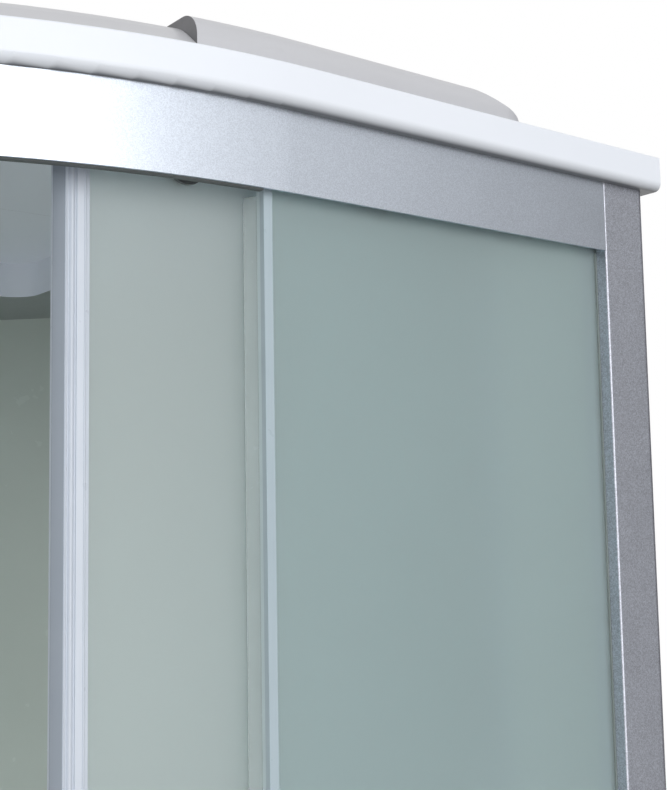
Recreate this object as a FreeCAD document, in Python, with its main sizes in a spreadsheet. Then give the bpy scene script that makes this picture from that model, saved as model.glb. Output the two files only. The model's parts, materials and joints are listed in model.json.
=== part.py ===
"""Quadrant shower cabin: tray on a framed base, two curved sliding doors, fixed side glass, rear walls and a roof.

The room's corner is at (-X, +Y) and the curved front faces (+X, -Y). The plan mirrors about the line y = -x,
so the right-hand pieces, on the +X side, are built and the left-hand ones are their mirror images.
Angles called phi turn from +X towards -Y about the front arc's vertical axis.
"""
import FreeCAD, Part
import math
import os
import re
import Sketcher
from FreeCAD import Placement, Rotation, Vector

# Driving dimensions in millimetres, and angles in degrees
SIZES = {
    # Whole cabin
    "side_length": 908.5, "total_height": 2147, "rail_radius": 550, "running_gap": 0.3, "fit_gap": 0.5,
    # Roof shell
    "roof_overhang": 10, "roof_radius": 575, "rim_height": 26.5, "rim_width": 22, "rim_edge": 6, "rim_lip": 12,
    "rim_top_edge": 1.5, "roof_wall": 5, "plate_rise": 8, "dome_rise": 21.5, "dome_inset": 4, "dome_lean": 25,
    "dome_edge": 40, "dome_back_share": 0.466, "dome_corner_share": 0.58, "dome_hollow": 50, "ridge_rise": 23.5,
    "ridge_lead": 80, "ridge_far_share": 0.61, "ridge_inset": 6, "ridge_slope": 60, "ridge_edge": 16,
    "ridge_corner": 30, "ridge_hollow": 30, "well_radius": 30, "well_depth": 8,
    # Curved rails, one extrusion used upright at the top and turned over at the bottom
    "rail_height": 52, "rail_wall": 2, "web_depth": 18.5, "web_drop": 8, "ledge_depth": 24.5, "ledge_top": 17.7,
    "rib_depth": 10.5, "rib_top": 20, "rib_drop": 6, "track_share": 0.563,
    # Wall posts
    "post_width": 46.5, "post_depth": 28, "post_inset": 9, "post_wall": 2, "post_edge": 6, "post_corner": 1.4,
    "groove_depth": 12, "front_groove": 8, "rear_groove": 6, "rear_groove_inset": 4,
    # Glass and its seals
    "glass_thickness": 5, "fixed_setback": 11, "fixed_lead": 11, "seal_wall": 1.5, "clip_gap": 0.1, "clip_length": 5,
    "lip_reach": 11, "lip_lead": 3.5, "gasket_wall": 1.3, "gasket_lip": 1,
    # Sliding doors, at rest as photographed
    "door_setback": 28, "door_lead": 13.57, "door_span": 43, "door_inset": 7, "door_clip": 8, "magnet_reach": 13,
    "magnet_shoulder": 6.5, "magnet_width": 10, "magnet_tip": 5, "tail_lip": 6.5, "tail_wall": 2,
    # Rollers
    "roller_lead": 7.5, "roller_spacing": 17, "wheel_radius": 9.5, "wheel_width": 4.6, "wheel_groove": 1,
    "axle_radius": 2.5, "axle_play": 0.05, "axle_head": 4, "axle_head_height": 0.7, "plate_gap": 0.2,
    "plate_thickness": 2.8, "plate_width": 26, "hub_drop": 12, "collar_radius": 4, "collar_height": 0.8,
    "bolt_radius": 5, "cap_radius": 11, "cap_height": 6, "bumper_radius": 4, "bumper_height": 14, "bumper_lead": 1.8,
    "open_travel": 4,
    # Door handles
    "handle_lead": 5.2, "handle_height": 1050, "handle_length": 320, "handle_spacing": 240, "handle_radius": 7,
    "handle_stand": 26, "stand_radius": 5.5, "knob_radius": 9, "knob_length": 14, "knob_edge": 3,
    # Shower tray
    "tray_height": 250, "tray_wall": 5, "flange_height": 35, "basin_depth": 115, "basin_margin": 75, "basin_slope": 25,
    "basin_back": 60, "basin_corner": 90, "basin_edge": 18, "rim_round": 4,
    # Apron
    "apron_gap": 0.5, "apron_wall": 3.5, "apron_clear": 15, "apron_tuck": 10, "apron_lip": 20, "apron_end": 6,
    "clip_width": 30, "clip_wall": 2, "clip_arm": 24, "clip_leg": 32, "clip_clear": 0.25,
    # Base frame and feet, the frame's back and front measured from the walls
    "tube_size": 25, "tube_wall": 2, "frame_back": 124.25, "frame_front": 609.25, "nose_length": 95, "foot_radius": 25,
    "foot_top": 12, "foot_height": 14, "foot_edge": 4, "stud_radius": 6, "nut_radius": 10.4, "nut_height": 9,
    "nut_gap": 40,
    # Waste trap, the drain's offset measured from the walls
    "drain_offset": 274.25, "drain_hole": 45, "grate_radius": 56, "grate_height": 3, "grate_neck": 40.8, "neck_drop": 20,
    "slot_count": 8, "slot_width": 5, "slot_start": 14, "slot_end": 36, "gasket_height": 3, "trap_flange": 4,
    "trap_radius": 44, "trap_wall": 3, "trap_drop": 78, "outlet_radius": 20, "outlet_wall": 2, "outlet_length": 80,
    "outlet_rise": 25, "outlet_collar": 24, "outlet_shoulder": 12,
    # Rear walls and corner column
    "profile_height": 20, "profile_wall": 2, "profile_width": 10, "column_reach": 188, "column_return": 30,
    "column_wall": 4,
    # Corner shelf
    "shelf_rise": 230, "shelf_radius": 100, "shelf_thickness": 16, "shelf_rim": 9, "shelf_recess": 7,
    # Mixer
    "mixer_height": 1090, "spindle_hole": 24, "rosette_radius": 55, "rosette_height": 6, "rosette_edge": 3,
    "spindle_radius": 19, "valve_radius": 28, "valve_length": 40, "port_radius": 10.5, "port_length": 20,
    "port_collar": 13, "collar_length": 22, "port_spread": 38, "manifold_radius": 16, "manifold_end": 7,
    "riser_radius": 14,
    "cap_dome": 24, "cap_length": 38, "cap_round": 8, "ear_width": 3, "ear_reach": 13, "ear_half": 6, "hub_half": 9,
    "hub_radius": 5, "pin_radius": 2, "lever_length": 84, "lever_width": 16, "lever_thickness": 7, "lever_edge": 3,
    # Overhead rose
    "rose_offset": 90, "rose_radius": 100, "rose_height": 10, "rose_edge": 3, "rose_drop": 20, "rose_neck": 20,
    "stem_radius": 10.5, "stem_top": 10, "stem_collar": 13,
    # Screws that tie the posts to the rails
    "screw_radius": 4, "screw_height": 2.5, "screw_inset": 18,
}

# Sizes that follow from the driving ones, as expressions
HALF = "(side_length / 2)"
FACE = "(side_length / 2 - roof_overhang)"
DRAIN = f"({HALF} - drain_offset)"
CENTRE = f"(rail_radius - {FACE})"
ROOF_CENTRE = f"(roof_radius - {HALF})"
STRAIGHT = f"({HALF} - {ROOF_CENTRE})"
DOME_BACK = f"({ROOF_CENTRE} + dome_back_share * {STRAIGHT})"
DOME_CORNER = f"(dome_corner_share * dome_back_share * {STRAIGHT})"
RIDGE_NEAR = f"({ROOF_CENTRE} - ridge_lead)"
RIDGE_FAR = f"({ROOF_CENTRE} + ridge_far_share * {STRAIGHT})"
RIM_TOP = "(total_height - ridge_rise)"
RIM_BASE = f"({RIM_TOP} - rim_height)"
PLATE = f"({RIM_BASE} + plate_rise)"
TOP_RAIL = f"({RIM_BASE} - rail_height)"
POST_BACK = f"({HALF} - post_inset)"
POST_FRONT = f"({POST_BACK} - post_width)"
DOOR_OUT = "(rail_radius - door_setback)"
DOOR_IN = f"({DOOR_OUT} - glass_thickness)"
DOOR_TAIL = "(door_lead - door_span)"
ROLLERS = {"front": "(door_lead - roller_lead)", "rear": "(door_lead - roller_lead - roller_spacing)"}
BASIN_FLOOR = "(tray_height - basin_depth)"
FRAME_TOP = f"({BASIN_FLOOR} - tray_wall)"
COLUMN_MID = f"({HALF} - (column_reach + column_return) / 2)"
# Where the apron's clips stand along the front arc, and where a wheel's tread groove starts and ends
ARC_SHARES = (1 / 6, 1 / 2, 5 / 6)
TREAD_SHARES = {"crown": (0.3, 0.7), "groove": (0.4, 0.6)}

doc = FreeCAD.newDocument("shower_cabin")
sheet = doc.addObject("Spreadsheet::Sheet", "sizes")
for row, (word, number) in enumerate(SIZES.items(), 1):
    sheet.set(f"A{row}", word)
    sheet.set(f"B{row}", str(number))
    sheet.setAlias(f"B{row}", word)
doc.recompute()
nodes = []


def bound(text):
    """The expression with each size's word tied to the sheet."""
    return re.sub(r"[a-z]\w*", lambda word: f"sizes.{word[0]}" if word[0] in SIZES else word[0], text)


def value(text):
    """The expression's present number."""
    return float(sheet.evalExpression(bound(text)))


def tie(thing, place, text):
    """Binds one property of an object to the sheet."""
    thing.setExpression(place, bound(text))


def keep(thing, name):
    """Marks an object as a finished piece under its node name."""
    thing.Label = name
    nodes.append(thing)
    return thing


def body_at(name, x="0", y="0", z="0", turn="0"):
    """A body whose own frame stands at a point, turned about the vertical."""
    body = doc.addObject("PartDesign::Body", name)
    body.Placement = Placement(Vector(), Rotation(Vector(0, 0, 1), value(turn)))
    for axis, text in zip("xyz", (x, y, z)):
        tie(body, f"Placement.Base.{axis}", text)
    return body


def polar_body(name, phi):
    """A body in the frame of the front arc: its X runs outward at phi, and Y towards smaller phi."""
    return body_at(name, f"-{CENTRE}", CENTRE, "0", f"-({phi})")


def column_body(name, height):
    """A body on the corner column's face: its X runs out of the face into the cabin."""
    return body_at(name, f"-{COLUMN_MID}", COLUMN_MID, height, "0 - 45")


def rounded(points):
    """Replaces each corner that has a radius by an arc tangent to its two square-on edges."""
    places = [Vector(value(p[0]), value(p[1]), 0) for p in points]
    result = []
    for i, point in enumerate(points):
        if len(point) < 3 or not isinstance(point[2], str):
            result.append(point)
            continue
        came = (places[i] - places[i - 1]).normalize()
        goes = (places[(i + 1) % len(points)] - places[i]).normalize()
        x, y, radius = point
        back = [f"{text} - ({radius}) * ({round(step)})" for text, step in zip((x, y), came[:2])]
        ahead = [f"{text} + ({radius}) * ({round(step)})" for text, step in zip((x, y), goes[:2])]
        middle = [f"{text} + ({radius}) * ({round(step)})" for text, step in zip(back, goes[:2])]
        result.append((*back, (*middle, 1 if came.cross(goes).z > 0 else -1)))
        result.append(tuple(ahead))
    return result


def new_sketch(body, plane, lift):
    """An empty sketch on one of the body's origin planes, lifted along its normal."""
    sketch = body.newObject("Sketcher::SketchObject", f"{body.Name}_sketch")
    support = next(item for item in body.Origin.OriginFeatures if item.Role == plane)
    sketch.AttachmentSupport = (support, "")
    sketch.MapMode = "FlatFace"
    tie(sketch, "AttachmentOffset.Base.z", lift)
    return sketch


def outline(body, plane, points, lift="0", closed=True):
    """A sketch of lines and arcs; a point's third item is the arc to the next one: its centre and its turn."""
    sketch = new_sketch(body, plane, lift)
    points = rounded(points) if closed else points
    places = [Vector(value(p[0]), value(p[1]), 0) for p in points]
    count = len(points)
    edges = count if closed else count - 1
    shapes, starts, ends, rules, texts = [], [], [], [], []

    def fix(edge, position, axis, text):
        rules.append(Sketcher.Constraint(f"Distance{axis}", -1, 1, edge, position, value(text)))
        texts.append((len(rules) - 1, text))

    for i in range(edges):
        here, there = places[i], places[(i + 1) % count]
        if len(points[i]) < 3:
            shapes.append(Part.LineSegment(here, there))
            starts.append(1)
            ends.append(2)
            continue
        x, y, turn = points[i][2]
        middle = Vector(value(x), value(y), 0)
        first, last = (here, there) if turn > 0 else (there, here)
        low, high = (math.atan2(p.y - middle.y, p.x - middle.x) for p in (first, last))
        circle = Part.Circle(middle, Vector(0, 0, 1), (here - middle).Length)
        shapes.append(Part.ArcOfCircle(circle, low, high if high > low else high + math.tau))
        starts.append(1 if turn > 0 else 2)
        ends.append(2 if turn > 0 else 1)
    sketch.addGeometry(shapes, False)
    for i in range(edges):
        after_arc = (closed or i > 0) and len(points[i - 1]) > 2
        offset = places[i] - Vector(value(points[i - 1][2][0]), value(points[i - 1][2][1]), 0) if after_arc else None
        if not after_arc or abs(offset.y) >= abs(offset.x):
            fix(i, starts[i], "X", points[i][0])
        if not after_arc or abs(offset.y) < abs(offset.x):
            fix(i, starts[i], "Y", points[i][1])
        if len(points[i]) > 2:
            fix(i, 3, "X", points[i][2][0])
            fix(i, 3, "Y", points[i][2][1])
        if closed or i + 1 < edges:
            after = (i + 1) % edges
            rules.append(Sketcher.Constraint("Coincident", i, ends[i], after, starts[after]))
    if not closed:
        fix(edges - 1, ends[-1], "X", points[-1][0])
        fix(edges - 1, ends[-1], "Y", points[-1][1])
    sketch.addConstraint(rules)
    for index, text in texts:
        tie(sketch, f"Constraints[{index}]", text)
    return sketch


def circle_sketch(body, plane, x, y, radius, lift="0"):
    """A sketch of one circle."""
    sketch = new_sketch(body, plane, lift)
    sketch.addGeometry(Part.Circle(Vector(value(x), value(y), 0), Vector(0, 0, 1), value(radius)), False)
    rules = [Sketcher.Constraint("DistanceX", -1, 1, 0, 3, value(x)),
             Sketcher.Constraint("DistanceY", -1, 1, 0, 3, value(y)),
             Sketcher.Constraint("Radius", 0, value(radius))]
    sketch.addConstraint(rules)
    for index, text in enumerate((x, y, radius)):
        tie(sketch, f"Constraints[{index}]", text)
    return sketch


def extrude(body, kind, sketch, length):
    """A Pad or a Pocket along the sketch plane's normal."""
    doc.recompute()
    before = body.Shape.Volume if kind == "Pocket" else 0
    feature = body.newObject(f"PartDesign::{kind}", f"{body.Name}_{kind.lower()}")
    feature.Profile = sketch
    feature.Reversed = kind == "Pocket"
    tie(feature, "Length", length)
    doc.recompute()
    if kind == "Pocket" and body.Shape.Volume >= before:
        raise RuntimeError(f"a pocket of {body.Name} cuts nothing")
    return feature


def prism(body, kind, points, start, stop, plane="XY_Plane"):
    """Adds or cuts an outline from one level to another."""
    return extrude(body, kind, outline(body, plane, points, start), f"({stop}) - ({start})")


def disc(body, kind, x, y, radius, start, stop, plane="XY_Plane"):
    """Adds or cuts a round bar from one level to another."""
    return extrude(body, kind, circle_sketch(body, plane, x, y, radius, start), f"({stop}) - ({start})")


def revolve(body, points, axis="V_Axis", angle="360"):
    """Turns a section in the body's XZ plane about its Z axis (V_Axis) or X axis (H_Axis)."""
    sketch = outline(body, "XZ_Plane", points)
    feature = body.newObject("PartDesign::Revolution", f"{body.Name}_turn")
    feature.Profile = sketch
    feature.ReferenceAxis = (sketch, [axis])
    tie(feature, "Angle", angle)
    doc.recompute()
    return feature


def loft(body, kind, low, high, bottom, top):
    """Joins one outline to another above it."""
    feature_sketches = [outline(body, "XY_Plane", low, bottom), outline(body, "XY_Plane", high, top)]
    feature = body.newObject(f"PartDesign::{kind}Loft", f"{body.Name}_loft")
    feature.Profile = feature_sketches[0]
    feature.Sections = [feature_sketches[1]]
    doc.recompute()
    return feature


def round_edges(body, radius, pick):
    """Rounds the edges of the body so far that pick chooses."""
    base = body.Tip
    chosen = [f"Edge{i}" for i, edge in enumerate(base.Shape.Edges, 1) if pick(edge)]
    feature = body.newObject("PartDesign::Fillet", f"{body.Name}_round")
    feature.Base = (base, chosen)
    tie(feature, "Radius", radius)
    doc.recompute()
    return feature


def rectangle(x0, x1, y0, y1):
    """The four corners of an upright rectangle."""
    return [(x0, y0), (x1, y0), (x1, y1), (x0, y1)]


def box(name, x0, x1, y0, y1, z0, z1):
    """A block between two corners."""
    block = doc.addObject("Part::Box", name)
    for side, axis, low, high in (("Length", "x", x0, x1), ("Width", "y", y0, y1), ("Height", "z", z0, z1)):
        tie(block, side, f"({high}) - ({low})")
        tie(block, f"Placement.Base.{axis}", low)
    return block


def bar(name, x, y, z, length, radius, direction=Vector(0, 0, 1)):
    """A round bar from a point along a direction."""
    rod = doc.addObject("Part::Cylinder", name)
    rod.Placement = Placement(Vector(), Rotation(Vector(0, 0, 1), direction))
    tie(rod, "Radius", radius)
    tie(rod, "Height", length)
    for axis, text in zip("xyz", (x, y, z)):
        tie(rod, f"Placement.Base.{axis}", text)
    return rod


def cut(name, base, tool):
    """One object with another taken away."""
    result = doc.addObject("Part::Cut", name)
    result.Base = base
    result.Tool = tool
    return result


def fuse(name, items):
    """Several touching objects as one solid."""
    result = doc.addObject("Part::MultiFuse", name)
    result.Shapes = items
    result.Refine = True
    return result


def group(name, items):
    """Several separate solids as one object."""
    result = doc.addObject("Part::Compound", name)
    result.Links = items
    return result


def mirror(source, name):
    """The other hand of an object, across the cabin's line of symmetry."""
    result = doc.addObject("Part::Mirroring", name)
    result.Source = source
    result.Normal = Vector(1, 1, 0)
    return result


def both_hands(piece, name):
    """Keeps a right-hand piece and its left-hand image."""
    keep(piece, f"right_{name}")
    keep(mirror(piece, f"left_{name}_image"), f"left_{name}")


def pair(piece, name):
    """Keeps a right-hand piece and its left-hand image as one group."""
    keep(group(f"{name}_group", [piece, mirror(piece, f"{name}_image")]), name)


def quadrant(radius, centre, back, corner=None):
    """The cabin's plan: a quarter arc at the front, square to the two walls."""
    face = f"{radius} - ({centre})"
    rounding = (corner,) if corner else ()
    return [(f"-({centre})", f"-({face})", (f"-({centre})", centre, 1)),
            (face, centre),
            (face, back, *rounding),
            (f"-({back})", back, *rounding),
            (f"-({back})", f"-({face})", *rounding)]


def sweep(name, section, face, end):
    """A section, drawn where the right straight ends, carried along the straight, the arc and the left straight."""
    body = body_at(name)
    profile = outline(body, "XZ_Plane", section, f"-({end})")
    path = [(face, end),
            (face, CENTRE, (f"-{CENTRE}", CENTRE, -1)),
            (f"-{CENTRE}", f"-({face})"),
            (f"-({end})", f"-({face})")]
    feature = body.newObject("PartDesign::AdditivePipe", f"{name}_pipe")
    feature.Profile = profile
    feature.Spine = outline(body, "XY_Plane", path, closed=False)
    return body


def rail(name, base, upright):
    """The aluminium rail: face, glass channel, and a runner ledge that widens behind the straights."""
    def at(depth, height):
        level = f"{base} + ({height})" if upright else f"{base} + rail_height - ({height})"
        return f"{FACE} - ({depth})", level

    inner_web = "web_depth - rail_wall"
    ceiling = "rail_height - rail_wall"
    ledge_foot = "ledge_top - rail_wall"
    section = [at("0", "0"), at("0", "rail_height"), at("web_depth", "rail_height"), at("web_depth", "ledge_top"),
               at("ledge_depth", "ledge_top"), at("ledge_depth", ledge_foot), at("web_depth", ledge_foot),
               at("web_depth", "web_drop"), at(inner_web, "web_drop"), at(inner_web, ceiling),
               at("rail_wall", ceiling), at("rail_wall", "rib_top"), at("rib_depth", "rib_top"),
               at("rib_depth", "rib_drop"), at("rib_depth - rail_wall", "rib_drop"),
               at("rib_depth - rail_wall", "rib_top - rail_wall"), at("rail_wall", "rib_top - rail_wall"),
               at("rail_wall", "0")]
    extrusion = sweep(f"{name}_extrusion", section, FACE, POST_FRONT)
    runner = body_at(f"{name}_runner")
    edge = "(rail_radius - ledge_depth)"
    run = f"(track_share * ({POST_FRONT} - {CENTRE}))"
    far = f"{CENTRE} + {run}"
    plan = [(f"{FACE} - web_depth", CENTRE),
            (f"{FACE} - web_depth", far),
            (f"sqrt({edge} ^ 2 - {run} ^ 2) - {CENTRE}", far, (f"-{CENTRE}", CENTRE, -1)),
            (f"{edge} - {CENTRE}", CENTRE)]
    levels = sorted((at("0", ledge_foot)[1], at("0", "ledge_top")[1]), key=value)
    prism(runner, "Pad", plan, *levels)
    keep(fuse(f"{name}_whole", [extrusion, runner, mirror(runner, f"{name}_runner_image")]), name)


def door_bumpers():
    """A rubber stop on the top rail's ledge, just past the rear roller's last place."""
    phi = f"{ROLLERS['rear']} - open_travel - bumper_lead"
    stop = polar_body("bumper", phi)
    reach = f"{DOOR_OUT} + plate_gap + plate_thickness + collar_height + wheel_width / 2"
    ledge = f"{TOP_RAIL} + ledge_top"
    disc(stop, "Pad", reach, "0", "bumper_radius", ledge, f"{ledge} + bumper_height")
    pair(stop, "door_bumpers")


def post():
    """Hollow wall post with a groove for the side glass and one for the rear glass."""
    body = body_at("post")
    groove_end = f"{POST_FRONT} + groove_depth"
    front_low = f"{FACE} - fixed_setback - glass_thickness / 2 - front_groove / 2"
    front_high = f"{FACE} - fixed_setback - glass_thickness / 2 + front_groove / 2"
    inside = f"{FACE} - post_depth"
    rear_high = f"{POST_BACK} - rear_groove_inset"
    rear_low = f"{rear_high} - rear_groove"
    rear_end = f"{inside} + groove_depth"
    section = [(FACE, POST_FRONT, "post_corner"), (FACE, POST_BACK, "post_edge"), (inside, POST_BACK),
               (inside, rear_high), (rear_end, rear_high), (rear_end, rear_low), (inside, rear_low),
               (inside, POST_FRONT), (front_low, POST_FRONT), (front_low, groove_end), (front_high, groove_end),
               (front_high, POST_FRONT)]
    prism(body, "Pad", section, "tray_height", RIM_BASE)
    step = f"{rear_end} + post_wall"
    front_wall, back_wall = f"{groove_end} + post_wall", f"{POST_BACK} - post_wall"
    hollow = [(f"{FACE} - post_wall", front_wall), (f"{FACE} - post_wall", back_wall, "post_edge - post_wall"),
              (step, back_wall), (step, f"{rear_low} - post_wall"),
              (f"{inside} + post_wall", f"{rear_low} - post_wall"), (f"{inside} + post_wall", front_wall)]
    prism(body, "Pocket", hollow, "tray_height", RIM_BASE)
    both_hands(body, "post")


def fixed_side():
    """The side glass, the gasket that holds it in the post and the seal on its free edge."""
    outer = f"{FACE} - fixed_setback"
    inner = f"{outer} - glass_thickness"
    edge = f"{CENTRE} - fixed_lead"
    foot = "tray_height + rail_wall + fit_gap"
    head = f"{RIM_BASE} - rail_wall - fit_gap"
    gasket_end = f"{POST_FRONT} + groove_depth - clip_gap"
    glass_end = f"{gasket_end} - gasket_wall - clip_gap"
    both_hands(box("side_glass", inner, outer, edge, glass_end, foot, head), "fixed_glass")

    gasket = body_at("post_gasket")
    start = f"{POST_FRONT} - gasket_lip"
    high, low = f"{outer} + clip_gap", f"{inner} - clip_gap"
    channel = [(high, start), (f"{high} + gasket_wall", start), (f"{high} + gasket_wall", gasket_end),
               (f"{low} - gasket_wall", gasket_end), (f"{low} - gasket_wall", start), (low, start),
               (low, f"{gasket_end} - gasket_wall"), (high, f"{gasket_end} - gasket_wall")]
    free_foot = "tray_height + rail_height + fit_gap"
    free_head = f"{TOP_RAIL} - fit_gap"
    prism(gasket, "Pad", channel, free_foot, free_head)
    both_hands(gasket, "post_gasket")

    seal = body_at("edge_seal")
    nose = f"{edge} - clip_gap - seal_wall"
    legs = f"{edge} + clip_length"
    root = f"{low} - seal_wall"
    tip = f"{root} - lip_reach + seal_wall"
    clip = [(f"{high} + seal_wall", nose), (f"{high} + seal_wall", legs), (high, legs),
            (high, f"{edge} - clip_gap"), (low, f"{edge} - clip_gap"), (low, legs), (root, legs), (root, nose)]
    prism(seal, "Pad", clip, f"{free_foot} - rib_drop", f"{free_head} + rib_drop")
    # The lip ends short of the clip, so that the door's roller plates pass above and below it
    lip = [(root, f"{nose} + seal_wall"), (tip, f"{nose} - lip_lead + seal_wall"), (tip, f"{nose} - lip_lead"),
           (root, nose)]
    prism(seal, "Pad", lip, free_foot, free_head)
    both_hands(seal, "edge_seal")


def roller_levels(end):
    """Heights of a roller's wheel centre and of the bolt that holds it to the glass."""
    if end == "top":
        wheel = f"({TOP_RAIL} + ledge_top + running_gap + wheel_radius)"
        return wheel, f"({wheel} - hub_drop)"
    wheel = "(tray_height + rail_height - ledge_top - running_gap - wheel_radius)"
    return wheel, f"({wheel} + hub_drop)"


def roller_bracket(name, phi, end):
    """Plate, axle and clamp bolt of one roller, with the bolt's cap inside the glass."""
    wheel, bolt = roller_levels(end)
    low, high = sorted((wheel, bolt), key=value)
    body = polar_body(name, phi)
    face = f"{DOOR_OUT} + plate_gap"
    front = f"{face} + plate_thickness"
    half = "plate_width / 2"
    plate = [(half, low), (half, high, ("0", high, 1)), (f"-{half}", high), (f"-{half}", low, ("0", low, 1))]
    prism(body, "Pad", plate, face, front, "YZ_Plane")
    hub = f"{front} + collar_height"
    retainer = f"{hub} + wheel_width + plate_gap"
    disc(body, "Pad", "0", wheel, "collar_radius", front, f"{hub} - plate_gap", "YZ_Plane")
    disc(body, "Pad", "0", wheel, "axle_radius", front, f"{retainer} + axle_head_height", "YZ_Plane")
    disc(body, "Pad", "0", wheel, "axle_head", retainer, f"{retainer} + axle_head_height", "YZ_Plane")
    seat = f"{DOOR_IN} - plate_gap"
    disc(body, "Pad", "0", bolt, "bolt_radius", f"{seat} - cap_height", face, "YZ_Plane")
    disc(body, "Pad", "0", bolt, "cap_radius", f"{seat} - cap_height", seat, "YZ_Plane")
    return body


def roller_wheel(name, phi, end):
    """A nylon wheel with a shallow tread groove, running on its axle."""
    wheel = roller_levels(end)[0]
    body = body_at(name, f"-{CENTRE}", CENTRE, wheel, f"-({phi})")
    start = f"{DOOR_OUT} + plate_gap + plate_thickness + collar_height"
    bore = "axle_radius + axle_play"
    stop = f"{start} + wheel_width"
    tread = [(f"{stop} - wheel_width * {share}", "wheel_radius") for share in TREAD_SHARES["crown"]]
    groove = [(f"{stop} - wheel_width * {share}", "wheel_radius - wheel_groove") for share in TREAD_SHARES["groove"]]
    section = [(start, bore), (stop, bore), (stop, "wheel_radius"), tread[0], *groove, tread[1],
               (start, "wheel_radius")]
    revolve(body, section, "H_Axis")
    return body


def handle_levels():
    """Heights of a handle's two fixings."""
    return ["handle_height - handle_spacing / 2", "handle_height + handle_spacing / 2"]


def door_handle():
    """Upright bar on two stand-offs outside, with a round knob on each bolt inside."""
    body = polar_body("handle", "door_lead - handle_lead")
    axis = f"{DOOR_OUT} + handle_stand"
    disc(body, "Pad", axis, "0", "handle_radius", "handle_height - handle_length / 2",
         "handle_height + handle_length / 2")
    seat = f"{DOOR_IN} - plate_gap"
    for level in handle_levels():
        disc(body, "Pad", "0", level, "stand_radius", f"{DOOR_OUT} + plate_gap", axis, "YZ_Plane")
        disc(body, "Pad", "0", level, "bolt_radius", f"{seat} - knob_length", axis, "YZ_Plane")
        disc(body, "Pad", "0", level, "knob_radius", f"{seat} - knob_length", seat, "YZ_Plane")
    ends = [value("handle_height - handle_length / 2"), value("handle_height + handle_length / 2")]
    round_edges(body, "knob_edge", lambda edge: any(abs(edge.CenterOfMass.z - z) < value("clip_gap") for z in ends))
    both_hands(body, "door_handle")


def door_glass():
    """Curved door glass, drilled for its rollers and its handle."""
    pane = polar_body("door_pane", "door_lead")
    foot, head = "tray_height + door_inset", f"{RIM_BASE} - door_inset"
    revolve(pane, rectangle(DOOR_IN, DOOR_OUT, foot, head), "V_Axis", "door_span")
    places = [(phi, roller_levels(end)[1]) for phi in ROLLERS.values() for end in ("top", "bottom")]
    places += [("door_lead - handle_lead", level) for level in handle_levels()]
    drills = []
    for number, (phi, level) in enumerate(places):
        drill = polar_body(f"drill_{number}", phi)
        disc(drill, "Pad", "0", level, "bolt_radius + fit_gap", f"{DOOR_IN} - fit_gap", f"{DOOR_OUT} + fit_gap",
             "YZ_Plane")
        drills.append(drill)
    both_hands(cut("door_pane_drilled", pane, group("drills", drills)), "door_glass")


def door_seals():
    """Magnet seal on the door's leading edge and the lipped seal on its trailing edge."""
    foot, head = "tray_height + rail_height + fit_gap", f"{TOP_RAIL} - fit_gap"
    outer, inner = f"{DOOR_OUT} + clip_gap", f"{DOOR_IN} - clip_gap * 2"
    middle = f"({DOOR_OUT} + {DOOR_IN}) / 2"
    magnet = polar_body("magnet_seal", "door_lead")
    wide, thin = f"{middle} + magnet_width / 2", f"{middle} - magnet_width / 2"
    plan = [(f"{outer} + seal_wall", "door_clip"), (outer, "door_clip"), (outer, "-clip_gap"), (inner, "-clip_gap"),
            (inner, "door_clip"), (f"{inner} - seal_wall", "door_clip"), (f"{inner} - seal_wall", "-seal_wall"),
            (thin, "-seal_wall"), (thin, "-magnet_reach"), (f"{thin} + magnet_tip", "-magnet_reach"),
            (wide, "-magnet_shoulder"), (wide, "-seal_wall"), (outer, "-seal_wall"), (outer, "-clip_gap * 4"),
            (f"{outer} + seal_wall", "-clip_gap * 4")]
    prism(magnet, "Pad", plan, "tray_height + door_inset", f"{RIM_BASE} - door_inset")
    both_hands(magnet, "magnet_seal")

    tail = polar_body("tail_seal", DOOR_TAIL)
    top = f"{outer} + seal_wall"
    plan = [(top, "-door_clip"), (top, "clip_gap"), (f"{top} + tail_lip", "clip_gap"),
            (f"{top} + tail_lip", "clip_gap + tail_wall"), (f"{inner} - seal_wall", "clip_gap + tail_wall"),
            (f"{inner} - seal_wall", "-door_clip"), (inner, "-door_clip"), (inner, "clip_gap"), (outer, "clip_gap"),
            (outer, "-door_clip")]
    prism(tail, "Pad", plan, foot, head)
    both_hands(tail, "tail_seal")


def sliding_door():
    """One door with its seals, handle, roller brackets and wheels, and its mirror image."""
    door_glass()
    door_seals()
    door_handle()
    for end in ("top", "bottom"):
        brackets = [roller_bracket(f"{end}_{place}_bracket", phi, end) for place, phi in ROLLERS.items()]
        both_hands(group(f"{end}_brackets", brackets), f"{end}_roller_brackets")
        for place, phi in ROLLERS.items():
            both_hands(roller_wheel(f"{end}_{place}_wheel_body", phi, end), f"{end}_{place}_wheel")


def near_level(text):
    """Picks the edges that lie at one height."""
    level = value(text)
    return lambda edge: all(abs(v.Z - level) < value("clip_gap") for v in edge.Vertexes)


def on_front(edge, radius, centre):
    """Whether an edge runs along the straight sides or the arc of a plan."""
    x, y = edge.valueAt((edge.FirstParameter + edge.LastParameter) / 2)[:2]
    face, middle = value(f"{radius} - ({centre})"), value(centre)
    reach = math.hypot(x + middle, y - middle)
    near = value("clip_gap")
    on_arc = abs(reach - value(radius)) < near and x > -middle and y < middle
    return on_arc or abs(x - face) < near or abs(y + face) < near


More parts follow.
